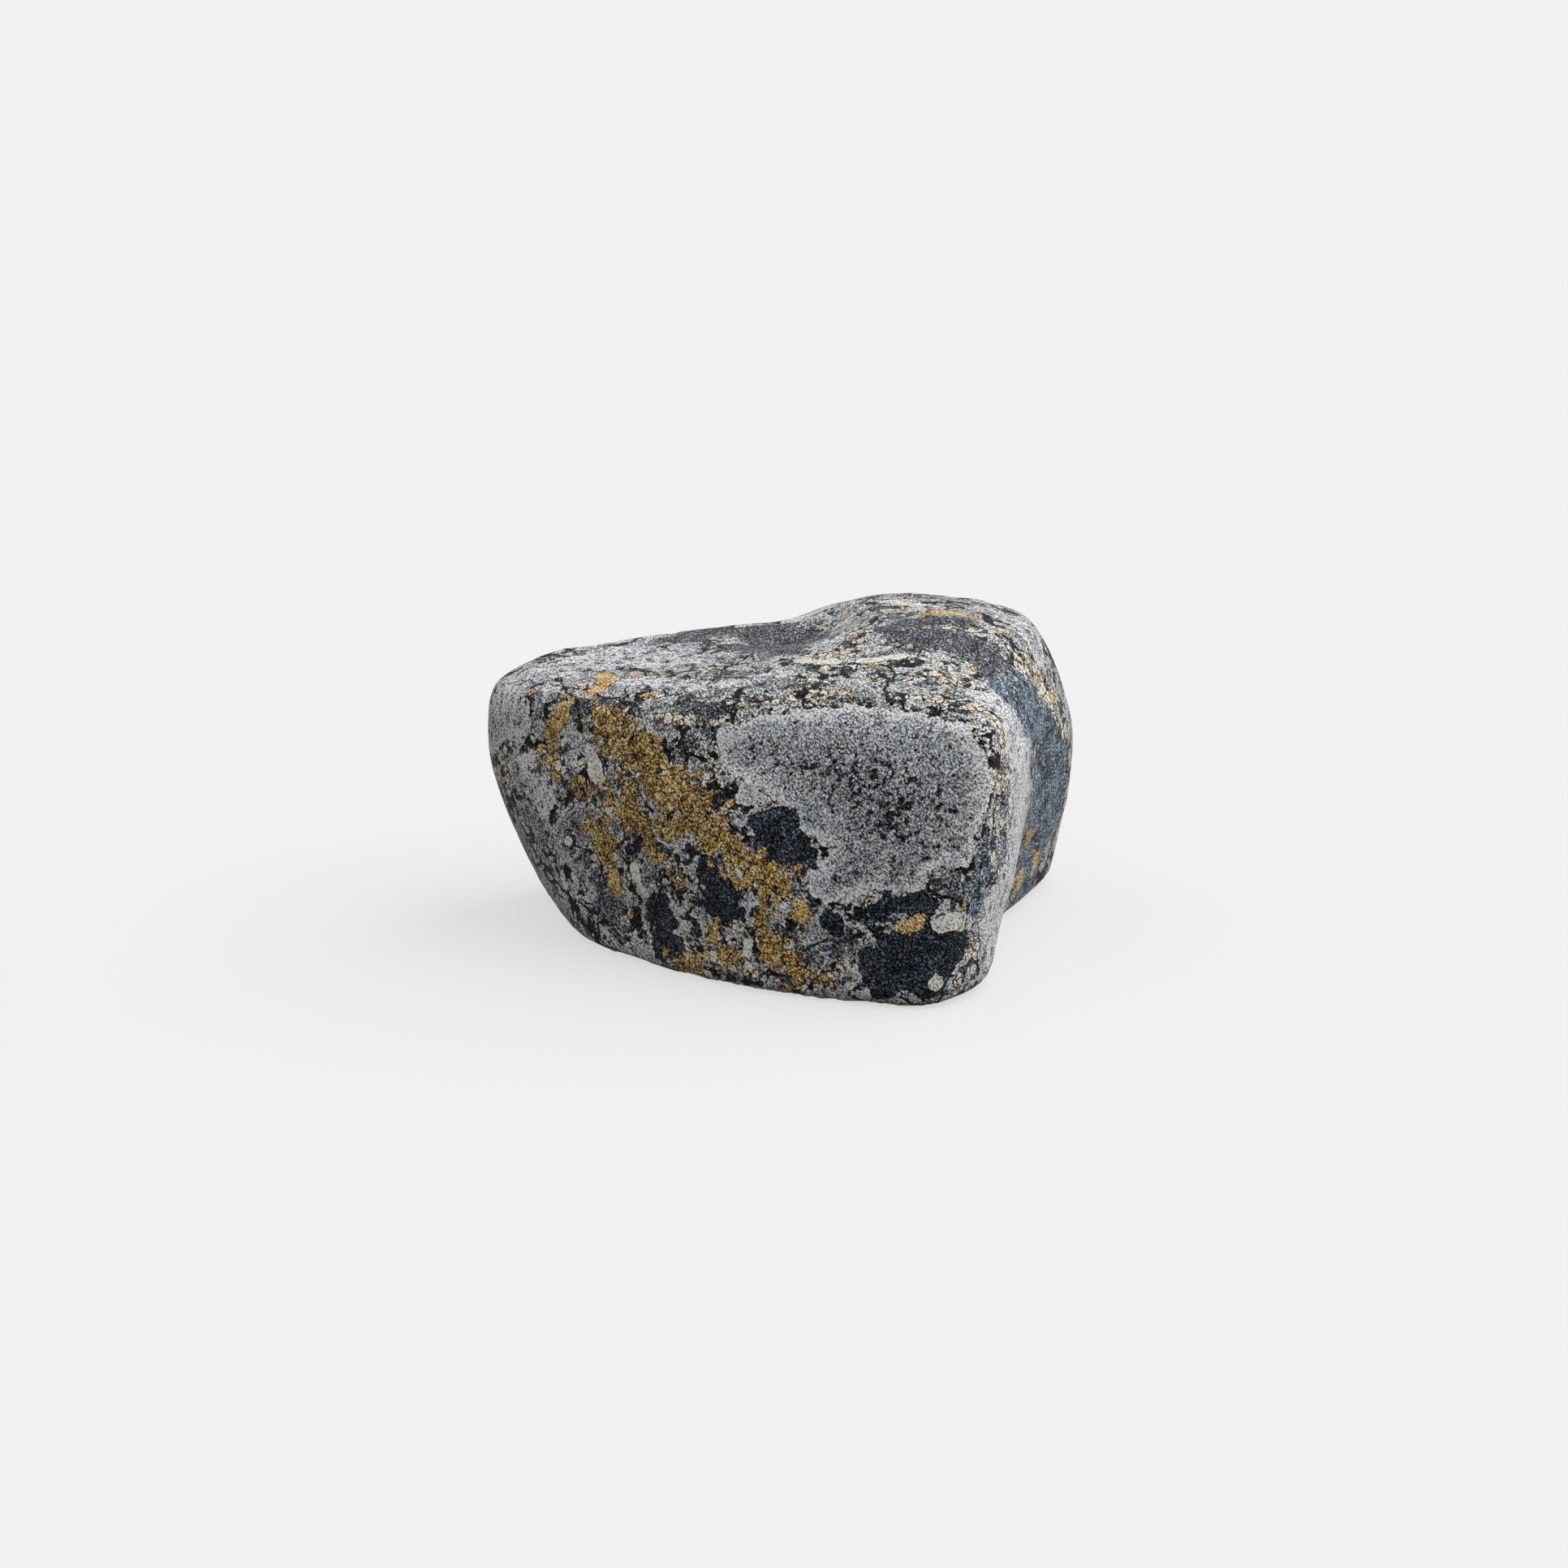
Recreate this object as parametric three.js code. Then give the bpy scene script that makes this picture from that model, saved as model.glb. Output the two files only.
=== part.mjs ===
// A pouf in the shape of a boulder: one soft block in a fitted fabric cover, with a broad low
// seat on the left and a taller shoulder on the right behind the near corner.
// Millimetres, +Z up, +X to the right and +Y away from whoever faces its broad front.
// The origin is the middle of the block's bounding box, on the floor.
import * as THREE from "three";

// Driving dimensions. Points are given in the drawing frame, whose origin is on the floor
// near the middle of the block; the finished skin is moved to the middle exactly.
const SEAT_HEIGHT = 352;
const SHOULDER_HEIGHT = 418;
const LEFT_BULGE = { x: -412, height: 255 };
const RIGHT_BULGE = { x: 436, height: 195 };
// Rounding between the floor and the sides, and softness of every other edge.
const FOOT_ROUNDING = 18;
const EDGE_SOFTNESS = 15;
// Widths over which the folds are filled in: seat to slope, lobe to lobe, round the hollow.
const SEAT_BLEND = 30;
const LOBE_BLEND = 12;
const DIMPLE_BLEND = 24;

// How finely the skin is divided, round the block and from the floor to the top.
const HEADINGS = 104;
const RINGS = 34;
// The points that each line up the skin is first traced with, and the halvings for each.
const FINE_STEPS = 200;
const HALVINGS = 30;
// Length in millimetres that a turn of one radian counts for when the rings are spaced,
// and what a length on the floor counts for.
const TURN_WEIGHT = 70;
const FLOOR_WEIGHT = 0.4;
// The point inside the block that every ray to the skin starts from, and a length beyond it.
const HEART = new THREE.Vector3(10, 0, 170);
const FAR = 900;
const FLOOR_TOLERANCE = 0.01;

const radians = THREE.MathUtils.degToRad;

// A flat cut through the block: its outward normal has a heading in plan (0 is +X, 90 is +Y)
// and a tilt above the horizon, and the cut passes through a point.
function facet(heading, tilt, x, y, z) {
  const level = Math.cos(radians(tilt));
  const normal = new THREE.Vector3(
    level * Math.cos(radians(heading)),
    level * Math.sin(radians(heading)),
    Math.sin(radians(tilt)),
  );
  return { normal, offset: normal.dot(new THREE.Vector3(x, y, z)) };
}

// The seat's nearly flat top, its fall to the left and the bevel at its left end.
const seatTop = [
  facet(256, 86.5, -100, 0, SEAT_HEIGHT),
  facet(200, 81, -300, 100, 358),
  facet(186, 50, -404, 60, 354),
];

// The top of the shoulder, and the slopes that fall from it to the front edge and to the seat.
const shoulderTop = facet(10, 84.5, 150, 150, SHOULDER_HEIGHT);
const frontSlope = facet(264, 75, 140, 20, 416);
const seatSlope = facet(190, 75, 136, 87, 411);
// The slope above the near corner's right side.
const cornerSlope = facet(350, 38, 260, -130, 374);

const frontSides = [
  // The front face, which leans back more in its upper part, and its turn to the left.
  facet(250, 22, 60, -236, 340),
  facet(253, 8, 60, -332, 20),
  facet(229, 2, -174, -185, 100),
  // The left bulge and the undercut below it.
  facet(208, -6, -388, -60, LEFT_BULGE.height),
  facet(186, 6, LEFT_BULGE.x, 40, LEFT_BULGE.height),
  facet(196, -24, LEFT_BULGE.x + 16, 0, LEFT_BULGE.height - 40),
  // The back of the seat.
  facet(148, 6, -356, 215, 200),
  facet(112, 10, -190, 284, 250),
  facet(116, -8, -190, 280, 130),
  facet(80, 0, -40, 290, 200),
  // The right side of the near corner, from the fold behind it to its rounded foot.
  facet(32, -8, 366, -40, 150),
  facet(346, 2, 274, -290, 150),
  facet(355, -14, 282, -200, 60),
  facet(314, -4, 268, -292, 60),
];

const shoulderLobe = [
  shoulderTop,
  frontSlope,
  seatSlope,
  // Two upright cuts that end this lobe inside the front one.
  facet(255, 0, 100, -180, 200),
  facet(190, 0, -90, 0, 200),
  // The side behind the fold, upper and lower.
  facet(335, 14, 288, -78, 320),
  facet(337, -12, 348, 45, 150),
  // The right bulge: above, below, and the bevel over it.
  facet(0, 24, RIGHT_BULGE.x - 22, 180, 260),
  facet(2, -10, RIGHT_BULGE.x, 180, RIGHT_BULGE.height),
  facet(352, 50, 380, 150, 400),
  // The back of the shoulder.
  facet(34, 4, 430, 250, 200),
  facet(72, 10, 250, 344, 240),
  facet(76, -8, 250, 344, 140),
  facet(106, 6, 60, 336, 200),
  facet(146, 4, -60, 300, 200),
];

// The hollow between the seat and the shoulder, an ellipsoid.
const SEAT_DIMPLE = {
  centre: new THREE.Vector3(0, 150, 434),
  halfSizes: new THREE.Vector3(108, 150, 80),
};

// The greatest of several distances, with the edges between them softened.
function softMax(values) {
  const sum = values.reduce((total, value) => total + Math.exp(value / EDGE_SOFTNESS), 0);
  return EDGE_SOFTNESS * Math.log(sum);
}

// The smaller of two distances, with the fold between them filled in.
function smoothMin(a, b, blend) {
  const share = THREE.MathUtils.clamp(0.5 + (b - a) / (2 * blend), 0, 1);
  return THREE.MathUtils.lerp(b, a, share) - blend * share * (1 - share);
}

// Distances outside each of a list of facets.
function beyond(facets, point) {
  return facets.map(({ normal, offset }) => normal.dot(point) - offset);
}

function ellipsoidField({ centre, halfSizes }, point) {
  const scaled = point.clone().sub(centre).divide(halfSizes);
  return (scaled.length() - 1) * Math.min(halfSizes.x, halfSizes.y, halfSizes.z);
}

// Two solids in one, with the edge between them rounded to a radius.
function roundedIntersection(a, b, radius) {
  const inner = Math.min(-radius, Math.max(a, b));
  return inner + Math.hypot(Math.max(a + radius, 0), Math.max(b + radius, 0));
}

// Below zero inside the block, above zero outside it. The front lobe has the seat and the near
// corner; the shoulder stands behind the corner and a fold parts them on the right.
function blockField(point) {
  const seat = softMax(beyond(seatTop, point));
  const rise = softMax(beyond([shoulderTop, frontSlope, seatSlope, cornerSlope], point));
  const frontTop = smoothMin(seat, rise, SEAT_BLEND);
  const frontLobe = softMax([frontTop, ...beyond(frontSides, point)]);
  const lobes = smoothMin(frontLobe, softMax(beyond(shoulderLobe, point)), LOBE_BLEND);
  const hollowed = -smoothMin(-lobes, ellipsoidField(SEAT_DIMPLE, point), DIMPLE_BLEND);
  return roundedIntersection(hollowed, -point.z, FOOT_ROUNDING);
}

// Where a ray from the heart leaves the block, found by halving.
function skinPoint(heading, elevation) {
  const direction = new THREE.Vector3(
    Math.cos(elevation) * Math.cos(heading),
    Math.cos(elevation) * Math.sin(heading),
    Math.sin(elevation),
  );
  let inside = 0;
  let outside = FAR;
  const point = new THREE.Vector3();
  for (let step = 0; step < HALVINGS; step += 1) {
    const reach = (inside + outside) / 2;
    point.copy(HEART).addScaledVector(direction, reach);
    if (blockField(point) < 0) inside = reach;
    else outside = reach;
  }
  if (Math.abs(point.z) < FLOOR_TOLERANCE) point.z = 0;
  return point;
}

// One line up the skin at a heading, from under the heart to above it, with its points
// closer together where the skin turns.
function meridian(heading) {
  const fine = [];
  for (let i = 0; i <= FINE_STEPS; i += 1) {
    fine.push(skinPoint(heading, Math.PI * (i / FINE_STEPS - 0.5)));
  }
  const along = [0];
  for (let i = 1; i <= FINE_STEPS; i += 1) {
    const segment = fine[i].clone().sub(fine[i - 1]);
    const next = fine[Math.min(i + 1, FINE_STEPS)].clone().sub(fine[i]);
    const turn = next.length() > 0 ? segment.angleTo(next) : 0;
    const onFloor = fine[i].z === 0 ? FLOOR_WEIGHT : 1;
    along.push(along[i - 1] + segment.length() * onFloor + turn * TURN_WEIGHT);
  }
  const line = [fine[0]];
  let i = 1;
  for (let ring = 1; ring < RINGS; ring += 1) {
    const goal = (along[FINE_STEPS] * ring) / RINGS;
    while (along[i] < goal) i += 1;
    const share = (goal - along[i - 1]) / (along[i] - along[i - 1]);
    line.push(fine[i - 1].clone().lerp(fine[i], share));
  }
  line.push(fine[FINE_STEPS]);
  return line;
}

function skinGeometry() {
  const lines = [];
  for (let i = 0; i < HEADINGS; i += 1) {
    lines.push(meridian((2 * Math.PI * i) / HEADINGS));
  }
  const points = [lines[0][0], lines[0][RINGS]];
  for (const line of lines) points.push(...line.slice(1, RINGS));
  const at = (i, ring) => {
    if (ring === 0) return 0;
    if (ring === RINGS) return 1;
    return 2 + (i % HEADINGS) * (RINGS - 1) + ring - 1;
  };
  const triangles = [];
  for (let i = 0; i < HEADINGS; i += 1) {
    triangles.push(at(i, 0), at(i + 1, 1), at(i, 1));
    for (let ring = 1; ring < RINGS - 1; ring += 1) {
      const [a, b] = [at(i, ring), at(i + 1, ring)];
      const [c, d] = [at(i + 1, ring + 1), at(i, ring + 1)];
      if (points[a].distanceTo(points[c]) < points[b].distanceTo(points[d])) {
        triangles.push(a, b, c, a, c, d);
      } else {
        triangles.push(a, b, d, b, c, d);
      }
    }
    triangles.push(at(i, RINGS - 1), at(i + 1, RINGS - 1), at(i, RINGS));
  }
  const geometry = new THREE.BufferGeometry().setFromPoints(points);
  geometry.setIndex(triangles);
  geometry.computeBoundingBox();
  const middle = geometry.boundingBox.getCenter(new THREE.Vector3());
  geometry.translate(-middle.x, -middle.y, 0);
  geometry.computeVertexNormals();
  return geometry;
}

const coverFabric = new THREE.MeshStandardMaterial({
  name: "cover_fabric",
  color: "#6f7276",
  roughness: 0.95,
  metalness: 0,
});

const pouf = new THREE.Mesh(skinGeometry(), coverFabric);
pouf.name = "pouf";

const object = new THREE.Group();
object.add(pouf);

export default object;
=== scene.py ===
"""A rock-shaped pouf: a soft foam seat in a fitted short-pile cover printed like lichened stone."""
import math
import random

import bpy
import numpy as np
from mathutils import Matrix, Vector


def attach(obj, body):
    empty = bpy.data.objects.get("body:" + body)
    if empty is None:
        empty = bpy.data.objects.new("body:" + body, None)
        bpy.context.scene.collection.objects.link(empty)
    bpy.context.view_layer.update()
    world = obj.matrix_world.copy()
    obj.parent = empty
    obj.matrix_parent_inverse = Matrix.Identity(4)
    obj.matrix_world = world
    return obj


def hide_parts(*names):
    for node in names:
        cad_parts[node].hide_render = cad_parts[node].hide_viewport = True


bl_info = {
    "name": "Rock-shaped pouf",
    "version": (1, 0, 0),
    "blender": (4, 5, 0),
    "location": "3D View > Sidebar > Pouf",
    "description": "Builds the cover of a rock-shaped pouf, its lichen print and a plain studio",
    "category": "Object",
}

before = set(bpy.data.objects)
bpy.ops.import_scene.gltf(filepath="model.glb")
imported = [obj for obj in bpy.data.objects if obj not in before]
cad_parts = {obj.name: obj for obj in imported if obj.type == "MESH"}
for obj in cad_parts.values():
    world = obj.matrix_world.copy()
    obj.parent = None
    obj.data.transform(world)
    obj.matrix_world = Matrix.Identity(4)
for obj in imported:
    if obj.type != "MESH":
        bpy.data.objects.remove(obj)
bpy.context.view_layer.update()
FOAM_NODE = "pouf"

MM = 0.001
SEED = 11

# The camera stands where the photograph's seems to have stood, in metres and degrees.
CAMERA_PLACE = (-0.004, -3.217, 0.970)
CAMERA_PITCH = 13.5
SENSOR_WIDTH = 36.0
FOCAL_LENGTH = 56.83

# Where the print's patches lie, as strokes of a round brush. Each stroke is a chain of points,
# and a point is x, y, z and the brush's radius there, in millimetres from the part's origin.
STROKES = {
    "ash": (
        # Front: the big field, its corner by the right-hand edge and its lobes, and its top edge.
        (
            (-70, -208, 290, 30), (-14, -226, 294, 52), (64, -264, 272, 88),
            (134, -298, 250, 100), (176, -304, 274, 72),
        ),
        ((206, -294, 314, 30), (218, -318, 254, 27), (198, -330, 202, 29)),
        ((90, -306, 176, 50), (60, -304, 146, 28)),
        ((136, -324, 170, 36),),
        ((-44, -238, 236, 20),),
        ((-88, -206, 278, 14), (-84, -194, 310, 12)),
        ((-24, -208, 322, 24), (50, -232, 336, 30), (130, -262, 334, 34), (186, -284, 320, 30)),
        # The far left side, then the shoulder's top.
        ((-388, 50, 270, 40), (-350, -10, 290, 30)),
        ((330, 130, 394, 40), (346, 90, 372, 36)),
    ),
    "slate": (
        # Front, from the middle down to the foot.
        ((-32, -256, 204, 22), (-10, -268, 192, 36), (12, -280, 176, 26)),
        ((-98, -240, 146, 20), (-82, -254, 110, 29), (-66, -266, 94, 19)),
        ((-162, -198, 80, 22), (-152, -208, 40, 27)),
        ((58, -316, 98, 17),),
        ((118, -330, 122, 15), (160, -340, 126, 17)),
        ((112, -344, 48, 36), (168, -352, 60, 46), (200, -342, 78, 24)),
        ((-284, -86, 216, 9),),
        ((-122, -230, 80, 8), (-110, -242, 62, 8)),
    ),
    "blue": (
        # The shoulder's side behind the fold, above and below, and a strip by the near corner.
        ((286, -128, 352, 34), (296, -100, 326, 42), (304, -76, 290, 28)),
        ((244, -312, 212, 6), (240, -316, 162, 12), (234, -320, 120, 10)),
        (
            (304, -50, 330, 34), (326, 16, 290, 60), (348, 44, 220, 84), (352, 70, 130, 84),
            (336, 70, 40, 60),
        ),
    ),
    "charcoal": (
        # The seat's front edge, right and left.
        ((-122, -150, 336, 14), (-100, -180, 322, 24), (-88, -198, 298, 14)),
        ((-274, -86, 316, 16), (-236, -100, 330, 16)),
        # The shoulder's front slope and top, then the hollow of the seat and its far rim.
        ((140, -10, 398, 30), (190, -30, 398, 42), (256, -50, 386, 40)),
        ((160, 40, 404, 26), (230, 40, 402, 30)),
        ((262, -70, 380, 22), (256, -136, 364, 14)),
        # The hollow of the seat: dark stone of the print, and partly painted shade where its flank
        # turns from the light.
        ((-20, 200, 360, 62), (0, 150, 360, 62), (40, 60, 372, 34)),
        ((-50, 80, 358, 40), (20, -20, 370, 22)),
        ((-160, 170, 354, 26), (-90, 200, 356, 40)),
        ((-90, -60, 350, 12), (-40, -70, 354, 16)),
        # Thin streaks and small spots on the front and along its top edge.
        ((-262, -110, 130, 7), (-244, -126, 100, 10), (-232, -136, 64, 12), (-218, -152, 34, 13)),
        ((90, -216, 350, 5), (150, -236, 348, 5), (204, -260, 344, 6)),
        ((202, -340, 154, 12), (216, -334, 142, 12)),
        ((-128, -182, 294, 10), (-134, -188, 274, 8)),
        ((24, -314, 50, 14), (60, -322, 72, 16)),
        # A dark spot at the foot of the front: painted shade where the front meets the floor.
        ((-88, -260, 30, 12), (-50, -282, 46, 10)),
    ),
    "ochre": (
        # The crust down from the upper left, and its runs and islands below.
        (
            (-250, -104, 318, 14), (-216, -132, 294, 26), (-184, -160, 266, 33),
            (-150, -188, 244, 34), (-124, -208, 220, 31), (-98, -226, 196, 26),
            (-70, -246, 178, 18),
        ),
        (
            (-200, -152, 246, 22), (-198, -160, 200, 18), (-168, -184, 180, 20),
            (-130, -206, 202, 24),
        ),
        (
            (-268, -100, 212, 10), (-254, -114, 188, 12), (-238, -128, 160, 14),
            (-228, -140, 132, 12),
        ),
        ((-176, -182, 162, 13), (-144, -206, 142, 14), (-126, -222, 118, 10)),
        ((-66, -250, 176, 17), (-32, -268, 152, 17), (0, -284, 142, 13)),
        (
            (-24, -282, 120, 11), (-30, -286, 86, 13), (-14, -296, 62, 16), (2, -306, 42, 15),
            (16, -314, 28, 11),
        ),
        ((-80, -264, 46, 12), (-100, -250, 62, 11)),
        ((-142, -218, 14, 11), (-110, -240, 14, 11)),
        ((30, -318, 30, 9), (54, -328, 22, 8)),
        ((-296, -70, 312, 12), (-312, -62, 262, 10), (-306, -66, 234, 8)),
    ),
    "gold": (
        # Buttons on the front, the seat, the corner's side, the shoulder and the front's foot.
        ((-222, -144, 110, 14), (-220, -148, 98, 12)),
        ((18, -300, 108, 13),),
        ((-2, -300, 74, 9),),
        ((142, -340, 102, 10), (158, -344, 108, 8)),
        ((-244, 0, 346, 10), (-232, -30, 344, 13), (-254, -60, 336, 11)),
        ((-214, 20, 348, 8),),
        ((-196, -24, 346, 9),),
        ((-284, -66, 326, 8), (-294, -68, 306, 12), (-302, -66, 286, 9)),
        ((-180, -108, 340, 8),),
        ((-342, -14, 326, 7),),
        ((-312, -60, 244, 7),),
        ((330, 2, 124, 12), (334, 32, 120, 13), (328, 18, 98, 11)),
        ((318, 18, 60, 13), (322, 50, 58, 13), (312, 34, 34, 10)),
        ((344, 80, 76, 9), (350, 108, 66, 11), (344, 92, 44, 8)),
        ((338, 20, 198, 5),),
        ((322, -4, 156, 5),),
        ((190, 84, 410, 12), (214, 96, 408, 17), (236, 84, 408, 14)),
        ((258, 96, 406, 8),),
        ((110, -112, 378, 10),),
        ((132, -148, 370, 8),),
        ((238, -108, 378, 7),),
        ((80, 190, 396, 9),),
        ((212, -338, 126, 5),),
        ((220, -332, 76, 6), (228, -326, 60, 4)),
        ((-90, -252, 88, 5),),
        ((-202, -164, 64, 5),),
    ),
    "pale": (
        # The seat: a bleached middle and a streak along its front edge.
        ((-352, -16, 334, 26), (-318, -40, 336, 20)),
        (
            (-372, 20, 310, 40), (-330, 40, 340, 44), (-280, 70, 348, 50), (-220, 90, 350, 60),
            (-150, 60, 352, 50),
        ),
        ((-190, -50, 346, 26), (-120, -90, 348, 22), (-60, -110, 354, 22), (0, -104, 366, 17)),
        # The near corner's side, from the line of crumbs at the corner to the fold.
        (
            (262, -176, 362, 40), (284, -178, 310, 84), (292, -176, 230, 96),
            (290, -190, 150, 86), (276, -240, 80, 78),
        ),
        # The shoulder: its slope to the seat, and its far right top.
        ((50, -20, 384, 22), (70, 40, 392, 26), (98, -10, 394, 24), (118, -50, 390, 22)),
        ((70, 120, 388, 24), (90, 220, 398, 28)),
        ((270, 150, 404, 36), (320, 140, 394, 30)),
        ((392, 210, 160, 26), (386, 220, 90, 30)),
        ((-338, -42, 226, 30), (-318, -58, 196, 26)),
        ((-206, -146, 232, 17), (-196, -160, 206, 15)),
    ),
    "cream": (
        # The line of crumbs down the near corner, and the crust on the shoulder's side.
        (
            (236, -218, 354, 9), (254, -240, 344, 10), (262, -258, 322, 9), (264, -272, 294, 8),
            (262, -284, 266, 9), (256, -294, 240, 9), (248, -306, 214, 7),
        ),
        ((318, 0, 366, 26), (334, 40, 340, 24), (350, 76, 300, 26), (372, 110, 250, 22)),
        ((176, -146, 376, 12), (214, -156, 372, 16), (246, -164, 362, 10)),
        ((150, -212, 356, 9), (194, -230, 354, 9), (234, -236, 352, 9)),
        ((52, -64, 382, 15), (80, -50, 388, 13)),
        ((250, 30, 398, 14), (300, 60, 398, 14)),
        ((150, 130, 408, 18), (120, 160, 404, 16)),
        ((-100, -210, 252, 12), (-78, -226, 232, 13)),
        ((-122, -232, 44, 11), (-70, -272, 34, 11), (-40, -288, 26, 9)),
        ((-124, -168, 322, 10), (-162, -152, 320, 10)),
        ((-392, 46, 192, 18), (-376, 0, 222, 16)),
        ((232, -318, 62, 14),),
        ((-192, -166, 192, 8), (-178, -174, 214, 7)),
        ((-252, -118, 140, 8), (-244, -126, 128, 8)),
        ((-66, -268, 82, 7), (-44, -280, 74, 7)),
        ((10, -130, 364, 12), (50, -150, 366, 12)),
        ((84, -20, 394, 14), (96, 20, 398, 16)),
        ((-60, -170, 346, 6), (-20, -180, 350, 8), (30, -180, 358, 9), (80, -190, 360, 8)),
    ),
    "shell": (
        # Small pale lichens that lie on the dark stone.
        ((186, -348, 104, 13), (206, -342, 107, 11)),
        ((254, -282, 64, 9), (252, -276, 34, 9)),
        ((182, -352, 34, 8),),
        ((-256, -106, 266, 10), (-244, -118, 242, 11), (-236, -128, 228, 8)),
        ((-282, -92, 142, 8),),
        ((-132, -218, 124, 10),),
        ((-192, -170, 128, 9), (-180, -180, 102, 8)),
        ((-302, -78, 94, 11), (-298, -80, 70, 10)),
        ((-44, -274, 62, 9), (-52, -276, 40, 8)),
        ((100, -100, 380, 12), (150, -90, 388, 10)),
        ((180, 150, 410, 14), (140, 190, 408, 12)),
        ((20, -60, 372, 12), (60, -90, 376, 12)),
    ),
}

# Sides that the photograph doesn't show get strokes of their own: how many of each kind, the
# least and greatest radius in millimetres and how many points a stroke has.
HIDDEN_STROKES = (
    ("ash", 7, 34, 78, 3),
    ("slate", 12, 12, 34, 3),
    ("blue", 6, 20, 60, 3),
    ("charcoal", 12, 8, 26, 4),
    ("ochre", 13, 9, 24, 5),
    ("gold", 24, 4, 10, 1),
    ("pale", 16, 7, 22, 3),
    ("cream", 14, 6, 12, 4),
    ("shell", 16, 6, 14, 2),
)
# A stroke's field stops counting this far inside or outside its edge, in millimetres.
FIELD_LIMIT = 160.0

# The foam's points closer than this, in millimetres, are merged in the cover's copy.
MERGE_DISTANCE = 0.01
# Frames that the cloth is simulated for, and its steps in each.
CLOTH_STEPS = 20
CLOTH_QUALITY = 5
# Points this close to the floor lie on it, in millimetres.
FLOOR_SLACK = 1.2
# Points up to this height are the underside, which no hidden stroke starts on, in millimetres.
UNDERSIDE = 1.0
# A point faces away from the photograph where its normal's share towards the camera is less.
HIDDEN_FACING = -0.3
# How far the brush moves between a stroke's points, in brush radii, and how much it turns.
WANDER = 1.3
TURNING = 0.5

# Widths of the print's patterns in millimetres, as such lichens and crusts have them: the small
# lichens between the big ones, clouds of crumbs, mottling, flecks, crumbs and pits.
PLATE_WIDTH = 78.0
CLOUD_WIDTH = 52.0
MOTTLE_WIDTH = 30.0
FLECK_WIDTH = 17.0
CRUMB_WIDTH = 12.5
PIT_WIDTH = 9.0
FINE_CRUMB_WIDTH = 6.5
# Noises that push the patterns about: the width of each and how far it pushes, in millimetres.
BROAD_SWAY = (45.0, 9.0)
FINE_SWAY = (8.0, 2.2)
PLATE_SWAY = (70.0, 34.0)
PLATE_FRAYING = (14.0, 4.0)
# How a patch's edge wanders, as widths and reaches in millimetres: wide turns, lobes and a nibble.
TURN_WIDTH = 45.0
TURN_REACH = 17.0
LOBE_WIDTH = 17.0
LOBE_REACH = 16.0
LOBE_CREST = 7.0
NIBBLE_WIDTH = 6.0
NIBBLE_REACH = 4.5
# Patches so small that their edges wander less, and by which share of the turns and the rest.
SMALL_KINDS = ("gold", "cream", "shell")
SMALL_TURN = 0.35
SMALL_EDGE = 0.5
# The depths in a patch, in millimetres, between which its dye sets in, and the dark line round it.
CRISP = (-0.7, 0.7)
CRISPER = (-0.6, 0.6)
OUTLINE = (-2.6, -1.2)
THIN_OUTLINE = (-2.2, -1.2)
# Widths in millimetres that follow a noise from 0 to 1, each as its gain and offset: belts of
# crumbs, cracks, the flecked edge of bare stone, pale rims and the edges of buttons.
BELT = (130.0, -56.0)
CRACK = (22.0, -9.6)
FLECKED_EDGE = (90.0, -45.0)
PALE_RIM = (70.0, -37.0)
BUTTON_EDGE = (7.0, -3.5)
# Half the width of the widest crack, in millimetres.
CRACK_LIMIT = 2.4
# How much of the clouds is taken from the flecks, so that black pockets lie in groups.
POCKET_GROUPING = -0.55
# The ash lichens' wear: how far it follows the mottling, and how it grows to their middle, for
# each millimetre. They are greyer from the first of two heights down to the second: painted
# shade, darker towards the floor.
WEAR_MOTTLING = 0.35
WEAR_INWARDS = -0.0015
ASH_PAINTED_SHADE_HEIGHTS = (290 * MM, 170 * MM)
# The bleached lichens' dark flecks: fewer for each millimetre inwards, and more with height, for
# each metre.
HOLES_INWARDS = 0.0006
SPECKS_WITH_HEIGHT = -0.9
# The ochre crust's crumbs. Each shows where its random share of a width, added to the depth,
# goes from one value to the next, in millimetres: the loose ones, then a few scattered ones.
OCHRE_CRUMBS = ((17.0, 6.0, 7.0), (180.0, 146.0, 147.0))

# Width and height of the pile's tufts, in millimetres. They lie at an angle down to the right,
# a little longer than wide, and the pile is brushed from front to back, which draws them out.
TUFT_WIDTH = 2.2
PILE_HEIGHT = 1.0
TUFT_RAKE = math.radians(45.0)
TUFT_LENGTH = 1.4
PILE_BRUSHING = 1.8
# How far the tufts lighten and darken the dye, the share of that on black, and the tone, from 0
# to 1 as seen, from which they do it in full.
GRAIN_CONTRAST = 2.9
GRAIN_ON_BLACK = 0.45
FULL_GRAIN_TONE = 0.3
# How far the tufts go from their dye to blue one way and to tan the other: red, green and blue.
GRAIN_TINT = (-0.42, 0.03, 0.35)
# The darkest and palest tone that the dyed pile has, and the power that turns seen tones to light.
TONE_RANGE = (0.01, 0.97)
SEEN_GAMMA = 2.2

# Half the width of the floor, in metres, and the dome's radius as a share of it.
STAGE_RADIUS = 30.0
DOME_SHARE = 0.98
# Where the soft light comes from, and how far above and below level the even light changes.
KEY_FROM = (0.75, 0.15, 0.65)
HORIZON_FADE = 0.1


def linear(code):
    """An sRGB hex colour as linear red, green, blue and alpha."""
    parts = [int(code[i : i + 2], 16) / 255 for i in (1, 3, 5)]
    light = [p / 12.92 if p <= 0.04045 else ((p + 0.055) / 1.055) ** 2.4 for p in parts]
    return (*light, 1.0)


def shade(name, code, what):
    """A colour setting for a property group."""
    return bpy.props.FloatVectorProperty(
        name=name, description=what, subtype="COLOR", size=4, min=0.0, max=1.0, default=linear(code)
    )


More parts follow.
